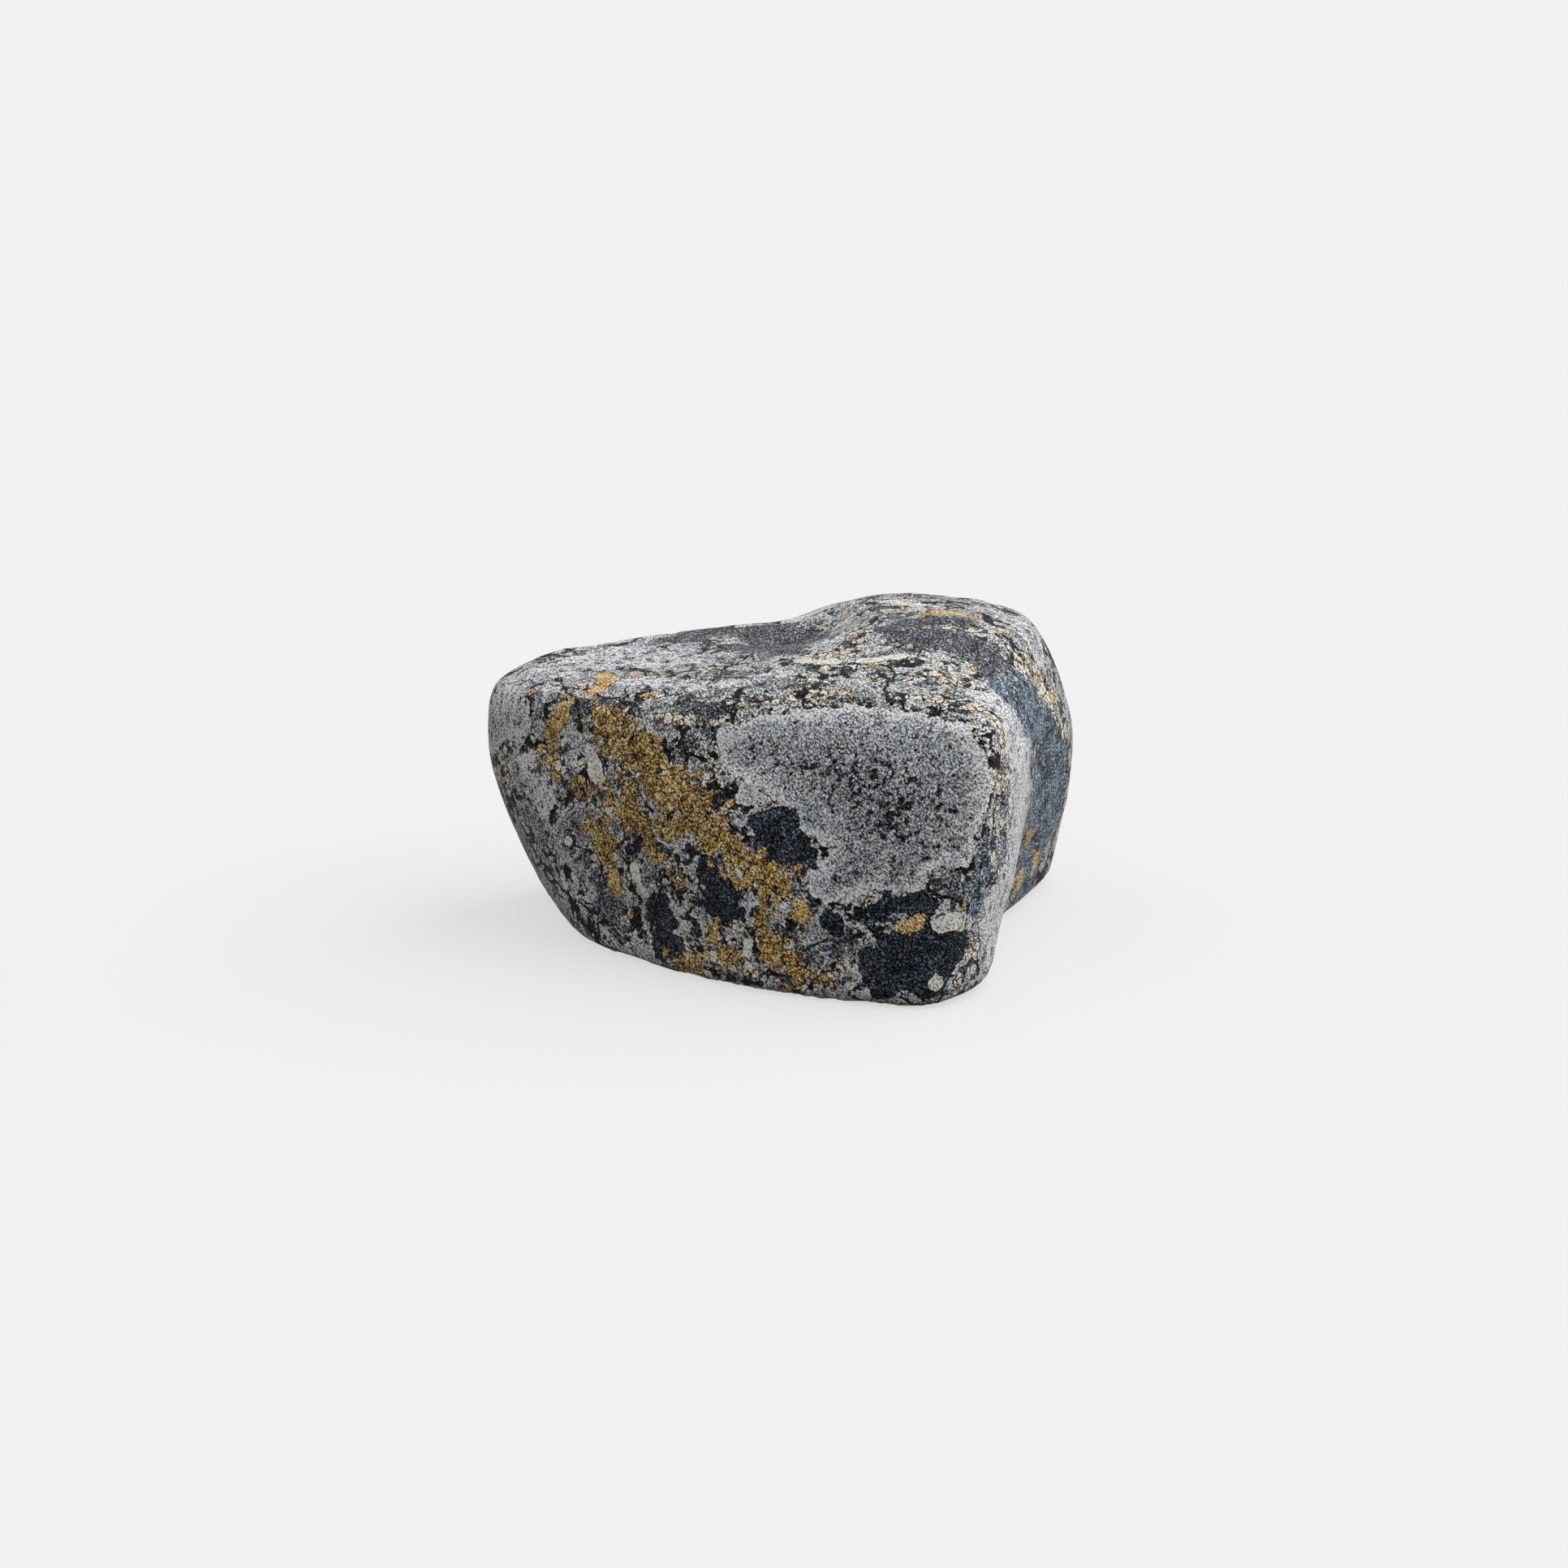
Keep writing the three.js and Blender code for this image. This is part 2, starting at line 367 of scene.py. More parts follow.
class PoufCoverSettings(bpy.types.PropertyGroup):
    """Sizes of the padded cover."""

    voxel: bpy.props.FloatProperty(
        name="Cloth mesh", description="Edge length of the mesh that the cloth is simulated on",
        default=9 * MM, min=4 * MM, unit="LENGTH",
    )
    tuck: bpy.props.FloatProperty(
        name="Tuck", description="How far the cover starts inside the foam's surface",
        default=2 * MM, min=0.0, unit="LENGTH",
    )
    reach: bpy.props.FloatProperty(
        name="Reach", description="The farthest that the padding pushes a point of the cover",
        default=6 * MM, min=0.0, unit="LENGTH",
    )
    pressure: bpy.props.FloatProperty(
        name="Padding pressure", description="How hard the foam fills the cover",
        default=4.0, min=0.0,
    )
    fill: bpy.props.FloatProperty(
        name="Fill", description="From 0, slack, to 1, tight",
        default=0.9, min=0.0, max=1.0, subtype="FACTOR",
    )
    lump_size: bpy.props.FloatProperty(
        name="Lump size", description="Width of the soft lumps of the foam under the cover",
        default=85 * MM, min=10 * MM, unit="LENGTH",
    )
    lump_height: bpy.props.FloatProperty(
        name="Lump height", description="How far the lumps rise and fall in all",
        default=3.5 * MM, min=0.0, unit="LENGTH",
    )


class PoufPrintSettings(bpy.types.PropertyGroup):
    """Colours of the print, as the dyed pile has them in even light."""

    ash: shade("Ash", "#9b9fa3", "The broad grey lichens")
    bleach: shade("Bleached rim", "#d4d7d9", "The pale rims and pale lichens")
    chalk: shade("Chalk", "#f0ede6", "The whitest small lichens")
    slate: shade("Slate", "#151e26", "The bare blue-black stone")
    blue: shade("Blue stone", "#627484", "The lighter blue-grey stone")
    # Its strokes also carry painted shade in the seat's hollow and at the front's foot.
    charcoal: shade("Charcoal", "#42464d", "The dark grey stone")
    # Also the painted shade that greys the ash lichens towards the floor.
    plate_dark: shade("Dark plate", "#77787a", "The darkest small lichens between the others")
    plate_light: shade("Light plate", "#b4b4b0", "The lightest small lichens between the others")
    crack: shade("Crack", "#090b0e", "The black lines between lichens")
    cream: shade("Cream", "#e2d8c2", "The cream crumbs of crust")
    ochre: shade("Ochre", "#bf9b50", "The ochre crust")
    ochre_dark: shade("Dark ochre", "#8a6c36", "The shaded crumbs of the ochre crust")
    gold: shade("Gold", "#d8b276", "The bright orange buttons")


class PoufStudioSettings(bpy.types.PropertyGroup):
    """The pale floor and the soft light."""

    backdrop: shade("Backdrop", "#f1f1f1", "The colour that floor and background come out in")
    floor: shade("Floor", "#909090", "The floor's own colour")
    floor_glow: bpy.props.FloatProperty(
        name="Floor glow", description="Share of the floor's brightness that comes from below",
        default=0.68, min=0.0, max=1.0, subtype="FACTOR",
    )
    key_strength: bpy.props.FloatProperty(
        name="Key light", description="Strength of the broad soft light overhead",
        default=2.1, min=0.0,
    )
    key_spread: bpy.props.FloatProperty(
        name="Key spread", description="How wide the soft light is, as an angle seen from the pouf",
        default=math.radians(80), min=0.0, max=math.pi, subtype="ANGLE",
    )
    fill_strength: bpy.props.FloatProperty(
        name="Fill light", description="Strength of the even light from above", default=0.6, min=0.0
    )
    floor_fill: bpy.props.FloatProperty(
        name="Light from below", description="Strength of the light that comes back from the floor",
        default=0.08, min=0.0,
    )


def only(obj):
    """Deselects everything and makes one object active and selected."""
    bpy.ops.object.select_all(action="DESELECT")
    obj.select_set(True)
    bpy.context.view_layer.objects.active = obj


def points_of(mesh):
    """The mesh's vertices as rows of x, y, z."""
    flat = np.empty(len(mesh.vertices) * 3, np.float32)
    mesh.vertices.foreach_get("co", flat)
    return flat.reshape(-1, 3)


def move_points(mesh, points):
    """Writes rows of x, y, z back to the mesh's vertices."""
    mesh.vertices.foreach_set("co", np.ascontiguousarray(points, np.float32).ravel())
    mesh.update()


def normals_of(mesh):
    """The mesh's vertex normals as rows of x, y, z."""
    flat = np.empty(len(mesh.vertices) * 3, np.float32)
    mesh.vertices.foreach_get("normal", flat)
    return flat.reshape(-1, 3)


def apply_modifier(obj, kind, name, **settings):
    """Adds a modifier with its settings and applies it."""
    only(obj)
    modifier = obj.modifiers.new(name, kind)
    for key, value in settings.items():
        setattr(modifier, key, value)
    bpy.ops.object.modifier_apply(modifier=name)


def stand_on_floor(mesh, slack):
    """Keeps the cover on the floor, flat where it all but touches it."""
    points = points_of(mesh)
    points[points[:, 2] < slack, 2] = 0.0
    move_points(mesh, points)


def swell(obj, settings):
    """Lets the padding press the cover outwards as cloth, and applies the result. The foam behind
    it keeps it from moving inwards."""
    mesh = obj.data
    start = points_of(mesh)
    outward = normals_of(mesh)
    only(obj)
    cloth = obj.modifiers.new("Cloth", "CLOTH")
    cloth.settings.quality = CLOTH_QUALITY
    cloth.settings.use_pressure = True
    cloth.settings.uniform_pressure_force = settings.pressure
    cloth.settings.effector_weights.gravity = 0.0
    scene = bpy.context.scene
    for step in range(1, CLOTH_STEPS + 1):
        scene.frame_set(step)
    bpy.ops.object.modifier_apply(modifier="Cloth")
    scene.frame_set(1)
    push = np.einsum("ij,ij->i", points_of(mesh) - start, outward)
    move_points(mesh, start + outward * np.clip(push, 0.0, settings.reach)[:, None])


def stroke_field(points, strokes):
    """How deep each point lies inside the nearest stroke, in millimetres, below zero outside."""
    depth = np.full(len(points), -FIELD_LIMIT)
    for stroke in strokes:
        chain = np.array(stroke, float)
        for a, b in zip(chain, chain[1:] if len(chain) > 1 else chain):
            run = b[:3] - a[:3]
            share = np.clip((points - a[:3]) @ run / max(run @ run, 1e-9), 0.0, 1.0)
            gap = np.linalg.norm(points - a[:3] - share[:, None] * run, axis=1)
            depth = np.maximum(depth, a[3] + share * (b[3] - a[3]) - gap)
    return np.minimum(depth, FIELD_LIMIT)


def hidden_strokes(points, normals):
    """Strokes for the sides that face away from the photograph, drawn by a seeded wander."""
    to_camera = np.array(CAMERA_PLACE) / MM - points
    facing = np.einsum("ij,ij->i", normals, to_camera) / np.linalg.norm(to_camera, axis=1)
    away = points[(facing < HIDDEN_FACING) & (points[:, 2] > UNDERSIDE)]
    draw = random.Random(SEED)
    made = {}
    for kind, count, low, high, length in HIDDEN_STROKES:
        made[kind] = []
        for _ in range(count):
            here = away[draw.randrange(len(away))]
            heading = np.array([draw.gauss(0, 1) for _ in range(3)])
            stroke = []
            for _ in range(length):
                radius = draw.uniform(low, high)
                stroke.append((*here, radius))
                heading = heading + TURNING * np.array([draw.gauss(0, 1) for _ in range(3)])
                ahead = here + heading / np.linalg.norm(heading) * radius * WANDER
                here = away[np.argmin(np.linalg.norm(away - ahead, axis=1))]
            made[kind].append(stroke)
    return made


def lay_print(mesh):
    """Stores on each vertex how deep it lies in each kind of patch."""
    points = points_of(mesh) / MM
    extra = hidden_strokes(points, normals_of(mesh))
    for kind, strokes in STROKES.items():
        depth = stroke_field(points, [*strokes, *extra[kind]])
        layer = mesh.attributes.new(kind, "FLOAT", "POINT")
        layer.data.foreach_set("value", depth.astype(np.float32))


def add(tree, kind, inputs=(), **settings):
    """Adds a shader node with its settings; an input is a value, a node or one of its sockets."""
    node = tree.nodes.new("ShaderNode" + kind)
    for name, value in settings.items():
        setattr(node, name, value)
    for key, value in dict(inputs).items():
        if isinstance(value, bpy.types.Node):
            value = value.outputs[0]
        if isinstance(value, bpy.types.NodeSocket):
            tree.links.new(value, node.inputs[key])
        else:
            node.inputs[key].default_value = value
    return node


def per_metre(size):
    """The scale of a texture whose features are this many millimetres wide."""
    return 1.0 / (size * MM)


def lay_over(tree, below, above, field, start, stop, strength=1.0):
    """Dyes one colour over another where a field goes from start to stop."""
    share = add(
        tree, "MapRange",
        {"Value": field, "From Min": start, "From Max": stop, "To Max": strength},
    )
    # A Mix node has its colours at inputs 6 and 7 and at output 2.
    return add(tree, "Mix", {0: share, 6: below, 7: above}, data_type="RGBA").outputs[2]


def crumbs(tree, place, size):
    """Rounded crumbs of crust: three random numbers for each, and how far its edge is in
    millimetres."""
    scale = per_metre(size)
    cells = add(tree, "TexVoronoi", {"Vector": place, "Scale": scale}, feature="F1")
    pick = add(tree, "SeparateColor", {0: cells.outputs["Color"]})
    edge = add(tree, "TexVoronoi", {"Vector": place, "Scale": scale}, feature="DISTANCE_TO_EDGE")
    gap = add(tree, "Math", {0: edge.outputs["Distance"], 1: size}, operation="MULTIPLY")
    return pick.outputs, gap


def sway(tree, place, width, reach):
    """Pushes a texture's place about by a noise of this width, so its edges wander this far."""
    noise = add(tree, "TexNoise", {"Vector": place, "Scale": per_metre(width), "Detail": 2.0})
    return add(
        tree, "VectorMath", {0: noise.outputs["Color"], 1: (2 * reach * MM,) * 3, 2: place},
        operation="MULTIPLY_ADD",
    )


def patch_depths(tree, place, swayed):
    """How deep the surface lies in each kind of patch, in millimetres. The edges wander in wide
    turns of their own, in lobes as lichens grow, and in a fine nibble."""
    turns = add(tree, "TexNoise", {"Vector": place, "Scale": per_metre(TURN_WIDTH), "Detail": 1.0})
    turn = add(tree, "SeparateColor", {0: turns.outputs["Color"]}).outputs
    lobes = add(
        tree, "TexVoronoi", {"Vector": swayed, "Scale": per_metre(LOBE_WIDTH)}, feature="F1"
    )
    nibble = add(
        tree, "TexNoise", {"Vector": place, "Scale": per_metre(NIBBLE_WIDTH), "Detail": 1.0}
    )
    lobed = add(
        tree, "Math", {0: lobes.outputs["Distance"], 1: -LOBE_REACH, 2: LOBE_CREST},
        operation="MULTIPLY_ADD",
    )
    ragged = add(
        tree, "Math", {0: nibble, 1: 2 * NIBBLE_REACH, 2: -NIBBLE_REACH}, operation="MULTIPLY_ADD"
    )
    edge = add(tree, "Math", {0: lobed, 1: ragged}, operation="ADD")
    depth = {}
    for index, kind in enumerate(STROKES):
        wander = add(
            tree, "Math", {0: turn[index % 3], 1: 2 * TURN_REACH, 2: -TURN_REACH},
            operation="MULTIPLY_ADD",
        )
        if kind in SMALL_KINDS:
            wander = add(tree, "Math", {0: wander, 1: SMALL_TURN}, operation="MULTIPLY")
        stored = add(tree, "Attribute", attribute_name=kind).outputs["Fac"]
        shaped = add(tree, "Math", {0: stored, 1: wander}, operation="ADD")
        share = SMALL_EDGE if kind in SMALL_KINDS else 1.0
        depth[kind] = add(tree, "Math", {0: edge, 1: share, 2: shaped}, operation="MULTIPLY_ADD")
    return depth


def lichen_print(tree, hues, place):
    """The dyes of the print, laid one over the other from the stone up to the topmost crusts."""
    swayed = sway(tree, place, *BROAD_SWAY)
    frayed = sway(tree, swayed, *FINE_SWAY)
    depth = patch_depths(tree, place, swayed)
    height = add(tree, "SeparateXYZ", {0: place}).outputs["Z"]
    cloud = add(
        tree, "TexNoise", {"Vector": swayed, "Scale": per_metre(CLOUD_WIDTH), "Detail": 2.0}
    )
    mottle = add(
        tree, "TexNoise", {"Vector": swayed, "Scale": per_metre(MOTTLE_WIDTH), "Detail": 3.0}
    )
    fleck = add(
        tree, "TexNoise",
        {"Vector": frayed, "Scale": per_metre(FLECK_WIDTH), "Detail": 4.0, "Roughness": 0.65},
    )
    pits = add(
        tree, "TexNoise",
        {"Vector": frayed, "Scale": per_metre(PIT_WIDTH), "Detail": 2.0, "Roughness": 0.6},
    )

    # Small lichens fill the ground between the big ones, each of one grey, with a pale rim where
    # two meet.
    wide = sway(tree, sway(tree, place, *PLATE_SWAY), *PLATE_FRAYING)
    plate, plate_gap = crumbs(tree, wide, PLATE_WIDTH)
    colour = lay_over(tree, hues["plate_dark"], hues["plate_light"], plate[0], 0.0, 1.0)
    colour = lay_over(tree, colour, hues["charcoal"], mottle, 0.44, 0.36, 0.6)
    colour = lay_over(tree, colour, hues["bleach"], plate_gap, 22.0, 10.0, 0.45)

    # Crumbs of crust, cream, grey and black, lie in clouds and in belts where two lichens meet.
    pick, gap = crumbs(tree, frayed, CRUMB_WIDTH)
    fine_pick, fine_gap = crumbs(tree, frayed, FINE_CRUMB_WIDTH)
    mosaic = lay_over(tree, hues["charcoal"], hues["plate_light"], pick[0], 0.26, 0.30)
    mosaic = lay_over(tree, mosaic, hues["cream"], pick[0], 0.52, 0.56)
    mosaic = lay_over(tree, mosaic, hues["crack"], pick[1], 0.68, 0.71)
    mosaic = lay_over(tree, mosaic, hues["crack"], gap, 1.7, 0.7, 0.9)
    speckle = lay_over(tree, hues["crack"], hues["plate_light"], fine_pick[0], 0.44, 0.50)
    speckle = lay_over(tree, speckle, hues["cream"], fine_pick[1], 0.66, 0.70)
    speckle = lay_over(tree, speckle, hues["crack"], fine_gap, 0.9, 0.3, 0.8)
    mosaic = lay_over(tree, mosaic, speckle, cloud, 0.52, 0.53)
    belt = add(tree, "Math", {0: mottle, 1: BELT[0], 2: BELT[1]}, operation="MULTIPLY_ADD")
    inside = add(tree, "Math", {0: belt, 1: plate_gap}, operation="SUBTRACT")
    colour = lay_over(tree, colour, mosaic, inside, *CRISP)
    colour = lay_over(tree, colour, mosaic, mottle, 0.585, 0.59)

    # Black stone shows in pockets and in broken lines between the lichens.
    pocket = add(
        tree, "Math", {0: cloud, 1: POCKET_GROUPING, 2: fleck}, operation="MULTIPLY_ADD"
    )
    colour = lay_over(tree, colour, hues["charcoal"], pocket, 0.150, 0.135, 0.8)
    colour = lay_over(tree, colour, hues["crack"], pocket, 0.110, 0.085, 0.6)
    opening = add(tree, "Math", {0: cloud, 1: CRACK[0], 2: CRACK[1]}, operation="MULTIPLY_ADD")
    narrowed = add(tree, "Math", {0: opening, 1: CRACK_LIMIT}, operation="MINIMUM")
    crack = add(tree, "Math", {0: narrowed, 1: plate_gap}, operation="SUBTRACT")
    colour = lay_over(tree, colour, hues["crack"], crack, -0.5, 0.5)

    # Bare dark grey stone, which goes over into the ground in flecks.
    flecked = add(
        tree, "Math", {0: fleck, 1: FLECKED_EDGE[0], 2: FLECKED_EDGE[1]}, operation="MULTIPLY_ADD"
    )
    stone = lay_over(tree, hues["charcoal"], hues["slate"], mottle, 0.52, 0.40, 0.7)
    stone = lay_over(tree, stone, hues["crack"], fleck, 0.40, 0.36, 0.8)
    stone = lay_over(tree, stone, hues["plate_dark"], fleck, 0.58, 0.62, 0.7)
    stone_depth = add(tree, "Math", {0: depth["charcoal"], 1: flecked}, operation="ADD")
    colour = lay_over(tree, colour, stone, stone_depth, -1.0, 1.0, 0.9)

    # The broad ash lichens: palest at the rim, darker and flecked with black in the middle.
    clusters = add(tree, "Math", {0: mottle, 1: WEAR_MOTTLING, 2: pits}, operation="MULTIPLY_ADD")
    worn = add(
        tree, "Math", {0: depth["ash"], 1: WEAR_INWARDS, 2: clusters}, operation="MULTIPLY_ADD"
    )
    ash = lay_over(tree, hues["ash"], hues["plate_dark"], depth["ash"], 20.0, 80.0, 0.5)
    # Painted shade: the ash is greyer towards the floor, from the first height down to the second.
    ash = lay_over(tree, ash, hues["plate_dark"], height, *ASH_PAINTED_SHADE_HEIGHTS, 0.6)
    ash = lay_over(tree, ash, hues["bleach"], worn, 0.70, 0.76, 0.45)
    ash = lay_over(tree, ash, hues["charcoal"], worn, 0.55, 0.50, 0.8)
    ash = lay_over(tree, ash, hues["crack"], worn, 0.49, 0.46, 0.9)
    ash = lay_over(tree, ash, hues["bleach"], depth["ash"], 20.0, 5.0)
    ash = lay_over(tree, ash, hues["crack"], depth["ash"], 1.2, 0.4, 0.8)
    # A belt of crumbs rings them.
    colour = lay_over(tree, colour, mosaic, depth["ash"], -7.0, -6.0)
    colour = lay_over(tree, colour, ash, depth["ash"], *CRISP)

    # Blue-black stone, ringed by the broken pale rims of the lichens that stop at it.
    rim_width = add(
        tree, "Math", {0: mottle, 1: PALE_RIM[0], 2: PALE_RIM[1]}, operation="MULTIPLY_ADD"
    )
    rim = add(tree, "Math", {0: rim_width, 1: depth["slate"]}, operation="ADD")
    colour = lay_over(tree, colour, hues["bleach"], rim, -4.5, -3.0, 0.5)
    slate = lay_over(tree, hues["slate"], hues["crack"], fleck, 0.42, 0.38, 0.6)
    slate = lay_over(tree, slate, hues["blue"], mottle, 0.50, 0.62, 0.15)
    slate = lay_over(tree, slate, hues["charcoal"], fleck, 0.59, 0.64, 0.6)
    colour = lay_over(tree, colour, slate, depth["slate"], *CRISP)

    # Bleached lichens, broken up by dark flecks, which are most at the edges.
    bleached = lay_over(tree, hues["bleach"], hues["ash"], cloud, 0.52, 0.42, 0.45)
    holes = add(
        tree, "Math", {0: depth["pale"], 1: HOLES_INWARDS, 2: fleck}, operation="MULTIPLY_ADD"
    )
    bleached = lay_over(tree, bleached, hues["slate"], holes, 0.46, 0.43, 0.8)
    # The seat's are flecked more finely as well, those on the sides hardly.
    specks = add(
        tree, "Math", {0: height, 1: SPECKS_WITH_HEIGHT, 2: pits}, operation="MULTIPLY_ADD"
    )
    bleached = lay_over(tree, bleached, hues["slate"], specks, 0.130, 0.100, 0.65)
    colour = lay_over(tree, colour, hues["crack"], depth["pale"], -2.4, -1.4, 0.7)
    colour = lay_over(tree, colour, bleached, depth["pale"], *CRISP)

    # Blue-grey stone, speckled dark and pale.
    blue = lay_over(tree, hues["blue"], hues["slate"], mottle, 0.50, 0.42, 0.8)
    blue = lay_over(tree, blue, hues["crack"], pits, 0.42, 0.38, 0.8)
    blue = lay_over(tree, blue, hues["bleach"], pits, 0.62, 0.66, 0.6)
    colour = lay_over(tree, colour, hues["crack"], depth["blue"], *OUTLINE, 0.7)
    colour = lay_over(tree, colour, blue, depth["blue"], *CRISP)

    # Small pale lichens with a darker outline, greyer in the middle.
    shell = lay_over(tree, hues["chalk"], hues["cream"], fine_pick[0], 0.3, 0.8)
    shell = lay_over(tree, shell, hues["plate_light"], depth["shell"], 5.0, 12.0, 0.6)
    colour = lay_over(tree, colour, hues["crack"], depth["shell"], *THIN_OUTLINE, 0.8)
    colour = lay_over(tree, colour, shell, depth["shell"], *CRISPER)

    # Cream crust, in crumbs with dark gaps and a few orange ones.
    crust = lay_over(tree, mosaic, hues["cream"], pick[0], 0.28, 0.32)
    crust = lay_over(tree, crust, hues["gold"], pick[2], 0.90, 0.93, 0.8)
    crust = lay_over(tree, crust, hues["crack"], gap, 1.5, 0.7, 0.85)
    colour = lay_over(tree, colour, hues["crack"], depth["cream"], *OUTLINE, 0.65)
    colour = lay_over(tree, colour, crust, depth["cream"], *CRISP)

    # Ochre crust, whole crumbs at a time, so that its edge breaks up into loose ones.
    ochre = lay_over(tree, hues["ochre"], hues["ochre_dark"], pick[2], 0.35, 0.9)
    ochre = lay_over(tree, ochre, hues["gold"], pick[0], 0.55, 0.95, 0.8)
    ochre = lay_over(tree, ochre, mosaic, mottle, 0.385, 0.375, 0.9)
    ochre = lay_over(tree, ochre, hues["crack"], gap, 1.5, 0.4, 0.65)
    ochre = lay_over(tree, ochre, hues["crack"], fine_gap, 0.7, 0.2, 0.3)
    ochre = lay_over(tree, ochre, hues["crack"], pits, 0.40, 0.34, 0.7)
    for width, start, stop in OCHRE_CRUMBS:
        loose = add(
            tree, "Math", {0: pick[1], 1: width, 2: depth["ochre"]}, operation="MULTIPLY_ADD"
        )
        colour = lay_over(tree, colour, ochre, loose, start, stop)

    # Bright orange buttons with a thin dark line round them.
    button_edge = add(
        tree, "Math", {0: pick[0], 1: BUTTON_EDGE[0], 2: BUTTON_EDGE[1]}, operation="MULTIPLY_ADD"
    )
    button = add(tree, "Math", {0: button_edge, 1: depth["gold"]}, operation="ADD")
    colour = lay_over(tree, colour, hues["crack"], button, *THIN_OUTLINE, 0.8)
    gold = lay_over(tree, hues["gold"], hues["ochre"], pick[2], 0.4, 0.9)
    gold = lay_over(tree, gold, hues["crack"], fine_gap, 0.8, 0.2, 0.35)
    return lay_over(tree, colour, gold, button, *CRISPER)


def pile_grain(tree, colour, place):
    """Breaks the dye up into the pile's tufts, some cooler and some warmer than it. They show less
    over dark dye, and are added to the colour as the eye measures it. Returns the colour and the
    tufts."""
    raked = add(
        tree, "Mapping",
        {
            "Vector": place, "Rotation": (0.0, TUFT_RAKE, 0.0),
            "Scale": (TUFT_LENGTH, PILE_BRUSHING, 1.0),
        },
        vector_type="TEXTURE",
    )
    tufts = add(
        tree, "TexNoise",
        {"Vector": raked, "Scale": per_metre(TUFT_WIDTH), "Detail": 2.0, "Roughness": 0.7},
    )
    seen = add(tree, "Gamma", {"Color": colour, "Gamma": 1 / SEEN_GAMMA})
    level = add(tree, "Math", {0: tufts, 1: 0.5}, operation="SUBTRACT")
    strength = add(
        tree, "MapRange",
        {
            "Value": seen, "From Max": FULL_GRAIN_TONE,
            "To Min": GRAIN_ON_BLACK * GRAIN_CONTRAST, "To Max": GRAIN_CONTRAST,
        },
    )
    swing = add(tree, "Math", {0: level, 1: strength}, operation="MULTIPLY")
    lift = add(tree, "VectorMath", {0: (1.0, 1.0, 1.0), "Scale": swing}, operation="SCALE")
    chill = add(tree, "SeparateColor", {0: tufts.outputs["Color"]}).outputs[1]
    cool = add(tree, "Math", {0: chill, 1: 0.5}, operation="SUBTRACT")
    tint = add(tree, "VectorMath", {0: GRAIN_TINT, "Scale": cool}, operation="SCALE")
    grainy = add(tree, "VectorMath", {0: seen, 1: lift}, operation="ADD")
    tinted = add(tree, "VectorMath", {0: grainy, 1: tint}, operation="ADD")
    raised = add(tree, "VectorMath", {0: tinted, 1: (TONE_RANGE[0],) * 3}, operation="MAXIMUM")
    kept = add(tree, "VectorMath", {0: raised, 1: (TONE_RANGE[1],) * 3}, operation="MINIMUM")
    return add(tree, "Gamma", {"Color": kept, "Gamma": SEEN_GAMMA}), tufts.outputs["Fac"]


def cover_material(settings):
    """Short-pile polyester stretch velour with a dye-transfer print: quite matt, a faint sheen from
    the pile at grazing angles, and a grain of tufts that breaks up every colour of the print."""
    material = bpy.data.materials.new("printed short-pile velour")
    material.use_nodes = True
    tree = material.node_tree
    tree.nodes.clear()
    hues = {name: getattr(settings, name)[:] for name in settings.__annotations__}
    place = add(tree, "TexCoord").outputs["Object"]
    dyed, tufts = pile_grain(tree, lichen_print(tree, hues, place), place)
    rough = add(
        tree, "MapRange",
        {"Value": tufts, "From Min": 0.3, "From Max": 0.7, "To Min": 0.85, "To Max": 1.0},
    )
    raised = add(tree, "Bump", {"Strength": 0.6, "Distance": PILE_HEIGHT * MM, "Height": tufts})
    surface = add(
        tree, "BsdfPrincipled",
        {
            "Base Color": dyed, "Roughness": rough, "Normal": raised, "IOR": 1.45,
            "Specular IOR Level": 0.06, "Sheen Weight": 0.06, "Sheen Roughness": 0.6,
        },
    )
    add(tree, "OutputMaterial", {"Surface": surface})
    return material


class POUF_OT_cover(bpy.types.Operator):
    """Make the padded cover from the foam's solid, with its print"""

    bl_idname = "pouf.cover"
    bl_label = "Cover"

    def execute(self, context):
        sizes = context.scene.pouf_cover
        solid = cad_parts[FOAM_NODE]
        only(solid)
        cover = bpy.data.objects.new("padded_cover", solid.data.copy())
        context.scene.collection.objects.link(cover)
        only(cover)
        bpy.ops.object.mode_set(mode="EDIT")
        bpy.ops.mesh.select_all(action="SELECT")
        bpy.ops.mesh.remove_doubles(threshold=MERGE_DISTANCE * MM)
        bpy.ops.object.mode_set(mode="OBJECT")
        apply_modifier(cover, "REMESH", "Cloth mesh", mode="VOXEL", voxel_size=sizes.voxel)
        mesh = cover.data
        move_points(mesh, points_of(mesh) - normals_of(mesh) * sizes.tuck)
        stand_on_floor(mesh, sizes.tuck + FLOOR_SLACK * MM)
        swell(cover, sizes)
        apply_modifier(cover, "SUBSURF", "Smooth", levels=1, render_levels=1)
        lumps = bpy.data.textures.new("foam lumps", "CLOUDS")
        lumps.noise_scale = sizes.lump_size
        apply_modifier(
            cover, "DISPLACE", "Lumps", texture=lumps, strength=sizes.lump_height, mid_level=0.5,
            texture_coords="LOCAL",
        )
        stand_on_floor(cover.data, FLOOR_SLACK * MM)
        only(cover)
        bpy.ops.object.shade_smooth()
        lay_print(cover.data)
        cover.data.materials.clear()
        cover.data.materials.append(cover_material(context.scene.pouf_print))
        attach(cover, "root")
        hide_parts(FOAM_NODE)
        return {"FINISHED"}


